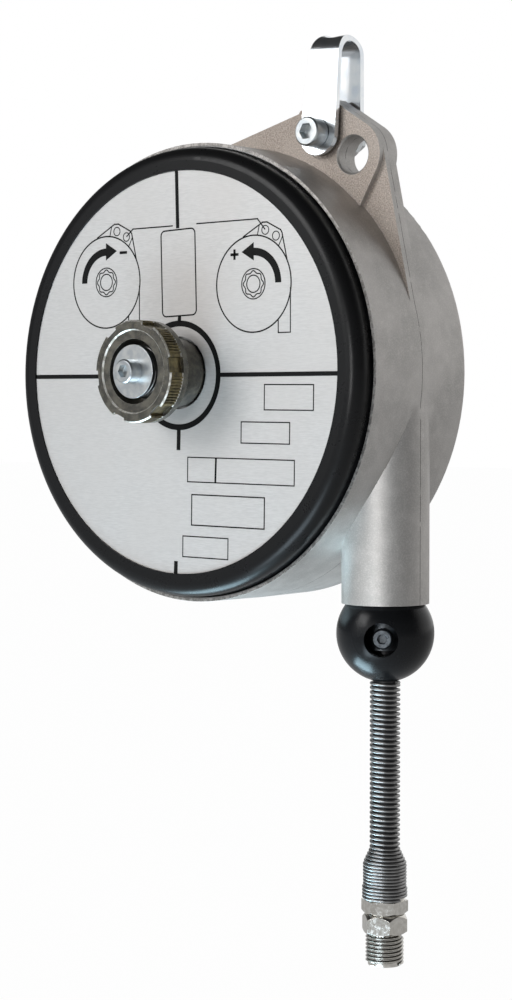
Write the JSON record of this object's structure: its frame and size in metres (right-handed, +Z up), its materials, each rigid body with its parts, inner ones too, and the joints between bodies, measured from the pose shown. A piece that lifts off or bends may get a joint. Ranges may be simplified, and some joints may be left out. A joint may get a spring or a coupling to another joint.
{
  "type": "tool balancer with air hose",
  "caption": "Spring tool balancer with an air hose: a round cast housing with a tension knob, hung from a strap, and a hose with a stop ball, guard spring and threaded nipple.",
  "frame": {"origin": "hook seat: the inside of the suspension strap's bend, where the hook carries the balancer", "axes": "+Z up, -Y the front with the knob and name plate, +X the side where the hose leaves the housing"},
  "size_m": [0.1615, 0.0948, 0.3196],
  "materials": {
    "cast_aluminium": "granular casting skin, machined rim",
    "black_plastic": "satin black moulding",
    "plate": "fine brushed silver plate with plain printed lines",
    "steel": "bright turned steel",
    "zinc_plated_steel": "blue-white zinc plate",
    "spring_steel": "dark drawn spring steel",
    "brass": "turned brass",
    "nickel_plated": "dull nickel plate",
    "die_cast_zinc": "dark passivated zinc casting with a knurled band",
    "seal_rubber": "black",
    "ball_rubber": "satin black",
    "guide_plastic": "black",
    "drum_plastic": "filled black nylon",
    "hose": "black polyurethane hose"
  },
  "bodies": {
    "housing": {"housing": "cast_aluminium", "front_cover": "black_plastic", "cover_retaining_ring": "steel", "name_plate": "plate", "ratchet_ring": "steel", "arbor_bush": "brass", "air_spindle": "brass", "spindle_seals": "seal_rubber", "hose_guide": "guide_plastic"},
    "strap": {"suspension_strap": "zinc_plated_steel", "strap_spacer": "zinc_plated_steel", "strap_screw": "zinc_plated_steel", "strap_lock_nut": "zinc_plated_steel"},
    "drum": {"drum": "drum_plastic", "spring_case_cover": "drum_plastic", "case_screws": "zinc_plated_steel", "drum_front_bush": "brass", "drum_rear_bush": "brass", "drum_air_fitting": "brass", "wound_hose": "hose", "power_spring": "spring_steel"},
    "arbor": {"spring_arbor": "steel", "knob_washer": "zinc_plated_steel", "knob_screw": "zinc_plated_steel", "knob_spring": "spring_steel"},
    "knob": {"knob": "die_cast_zinc"},
    "hose_end": {"hose_lead": "hose", "hose_tail": "hose", "stop_ball": "ball_rubber", "stop_clamp": "zinc_plated_steel", "stop_clamp_screw": "zinc_plated_steel", "guard_spring": "spring_steel", "hose_nut": "nickel_plated", "hose_nipple": "nickel_plated"}
  },
  "joints": [
    {"name": "strap_swing", "type": "hinge", "parent": "housing", "child": "strap", "pos_m": [-0.00247, 0, -0.0307], "axis": [0, 1, 0], "range_deg": [-65, 100]},
    {"name": "drum_spin", "type": "hinge", "parent": "housing", "child": "drum", "pos_m": [-0.04367, 0, -0.1127], "axis": [0, 1, 0], "range_deg": [0, 1199.2], "stiffness_Nm_per_rad": 0.0232, "springref_deg": -1180.29},
    {"name": "tension_turn", "type": "hinge", "parent": "housing", "child": "arbor", "pos_m": [-0.04367, 0, -0.1127], "axis": [0, 1, 0], "range_deg": [-900, 900]},
    {"name": "knob_pull", "type": "slide", "parent": "arbor", "child": "knob", "axis": [0, -1, 0], "range_m": [0, 0.004], "stiffness_N_per_m": 1200, "springref_m": -0.004, "deforming": ["knob_spring"]},
    {"name": "hose_pull", "type": "slide", "parent": "housing", "child": "hose_end", "axis": [0, 0, -1], "range_m": [0, 1.3501], "deforming": ["hose_lead"]}
  ],
  "couplings": [
    {"joint": "hose_pull", "follows": "drum_spin", "m_per_rad": 0.0645}
  ]
}
